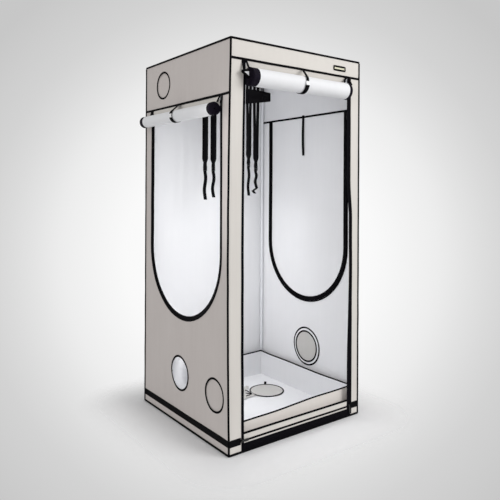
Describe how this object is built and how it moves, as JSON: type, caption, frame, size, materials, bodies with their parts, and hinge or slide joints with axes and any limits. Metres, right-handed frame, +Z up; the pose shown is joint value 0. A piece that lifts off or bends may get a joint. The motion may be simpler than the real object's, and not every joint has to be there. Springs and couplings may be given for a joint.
{
  "type": "indoor grow tent",
  "caption": "Tall square grow tent: steel tube frame in a sewn reflective cover with a roll-up front door, side windows, round duct ports, hanging straps and a floor tray.",
  "frame": {"origin": "centre of the square floor, on the ground", "axes": "+Z up, +X to the right seen from the doorway, +Y to the back; the doorway faces -Y"},
  "size_m": [0.8737, 0.8714, 1.8028],
  "materials": {
    "white_enamel": "smooth white powder coat on steel tube",
    "connector_plastic": "moulded nylon",
    "cover_cloth": "woven warm grey cloth, bright reflective lining inside",
    "lining_cloth": "white to silver reflective coated cloth",
    "black_webbing": "woven black webbing and zip tape",
    "black_plastic": "moulded black plastic",
    "white_plastic": "moulded white plastic"
  },
  "bodies": {
    "tent": {"post_front_left": "white_enamel", "post_front_right": "white_enamel", "post_back_left": "white_enamel", "post_back_right": "white_enamel", "base_rail_front": "white_enamel", "base_rail_back": "white_enamel", "base_rail_left": "white_enamel", "base_rail_right": "white_enamel", "top_rail_front": "white_enamel", "top_rail_back": "white_enamel", "top_rail_left": "white_enamel", "top_rail_right": "white_enamel", "connector_base_front_left": "connector_plastic", "connector_base_front_right": "connector_plastic", "connector_base_back_left": "connector_plastic", "connector_base_back_right": "connector_plastic", "connector_top_front_left": "connector_plastic", "connector_top_front_right": "connector_plastic", "connector_top_back_left": "connector_plastic", "connector_top_back_right": "connector_plastic", "left_wall": "cover_cloth", "right_wall": "cover_cloth", "back_wall": "cover_cloth", "front_wall": "cover_cloth", "roof": "cover_cloth", "floor_panel": "cover_cloth", "edge_piping": "black_webbing", "base_band": "black_webbing", "floor_tray": "lining_cloth", "door_zip": "black_webbing", "left_window_zip": "black_webbing", "right_window_zip": "black_webbing", "front_door_roll": "lining_cloth", "left_window_roll": "lining_cloth", "front_roll_strap": "black_webbing", "front_roll_buckle": "white_plastic", "left_roll_strap": "black_webbing", "left_roll_buckle": "white_plastic", "right_window_tie": "black_webbing", "port_cover_left_upper": "cover_cloth", "port_cover_left_lower": "cover_cloth", "port_cover_right": "cover_cloth", "port_sleeve": "cover_cloth"},
    "front_crossbar": {"crossbar_front": "white_enamel"},
    "back_crossbar": {"crossbar_back": "white_enamel"},
    "front_loops": {"hang_strap_front_left": "black_webbing", "hang_strap_front_right": "black_webbing", "strap_keeper": "black_webbing"},
    "back_left_loop": {"hang_strap_back_left": "black_webbing"},
    "back_right_loop": {"hang_strap_back_right": "black_webbing"},
    "front_left_buckle": {"hang_buckle_front_left": "black_plastic"},
    "front_right_buckle": {"hang_buckle_front_right": "black_plastic"},
    "back_left_buckle": {"hang_buckle_back_left": "black_plastic"},
    "back_right_buckle": {"hang_buckle_back_right": "black_plastic"},
    "door_left_slider": {"door_slider_left": "black_plastic"},
    "door_right_slider": {"door_slider_right": "black_plastic"},
    "left_slider": {"left_window_slider": "black_plastic"},
    "right_slider": {"right_window_slider": "black_plastic"},
    "window_flap": {"right_window_flap": "cover_cloth"},
    "lid": {"port_lid": "cover_cloth"}
  },
  "joints": [
    {"name": "front_crossbar_slide", "type": "slide", "parent": "tent", "child": "front_crossbar", "axis": [0, 1, 0], "range_m": [-0.08, 0.08]},
    {"name": "back_crossbar_slide", "type": "slide", "parent": "tent", "child": "back_crossbar", "axis": [0, 1, 0], "range_m": [-0.08, 0.08]},
    {"name": "front_loops_swing", "type": "hinge", "parent": "front_crossbar", "child": "front_loops", "pos_m": [-0.13, -0.2, 1.7867], "axis": [1, 0, 0], "range_deg": [-8, 8]},
    {"name": "back_left_swing", "type": "hinge", "parent": "back_crossbar", "child": "back_left_loop", "pos_m": [-0.15, 0.2, 1.7867], "axis": [1, 0, 0], "range_deg": [-8, 8]},
    {"name": "back_right_swing", "type": "hinge", "parent": "back_crossbar", "child": "back_right_loop", "pos_m": [-0.097, 0.2, 1.7867], "axis": [1, 0, 0], "range_deg": [-8, 8]},
    {"name": "front_left_buckle_slide", "type": "slide", "parent": "front_loops", "child": "front_left_buckle", "axis": [0, 0, 1], "range_m": [0, 0.12], "deforming": ["hang_strap_front_left"]},
    {"name": "front_right_buckle_slide", "type": "slide", "parent": "front_loops", "child": "front_right_buckle", "axis": [0, 0, 1], "range_m": [0, 0.12], "deforming": ["hang_strap_front_right"]},
    {"name": "back_left_buckle_slide", "type": "slide", "parent": "back_left_loop", "child": "back_left_buckle", "axis": [0, 0, 1], "range_m": [0, 0.12], "deforming": ["hang_strap_back_left"]},
    {"name": "back_right_buckle_slide", "type": "slide", "parent": "back_right_loop", "child": "back_right_buckle", "axis": [0, 0, 1], "range_m": [0, 0.12], "deforming": ["hang_strap_back_right"]},
    {"name": "door_left_slider_slide", "type": "slide", "parent": "tent", "child": "door_left_slider", "axis": [0, 0, 1], "range_m": [0, 1.5]},
    {"name": "door_right_slider_slide", "type": "slide", "parent": "tent", "child": "door_right_slider", "axis": [0, 0, 1], "range_m": [0, 1.5]},
    {"name": "left_slider_slide", "type": "slide", "parent": "tent", "child": "left_slider", "axis": [0, 0, 1], "range_m": [-0.65, 0]},
    {"name": "right_slider_slide", "type": "slide", "parent": "tent", "child": "right_slider", "axis": [0, 0, 1], "range_m": [-0.65, 0]},
    {"name": "window_flap_swing", "type": "hinge", "parent": "tent", "child": "window_flap", "pos_m": [0.4, 0, 1.563], "axis": [0, -1, 0], "range_deg": [0, 85]},
    {"name": "lid_lift", "type": "hinge", "parent": "tent", "child": "lid", "pos_m": [0.1199, 0.118, 0.0041], "axis": [0, -1, 0], "range_deg": [0, 90]}
  ]
}
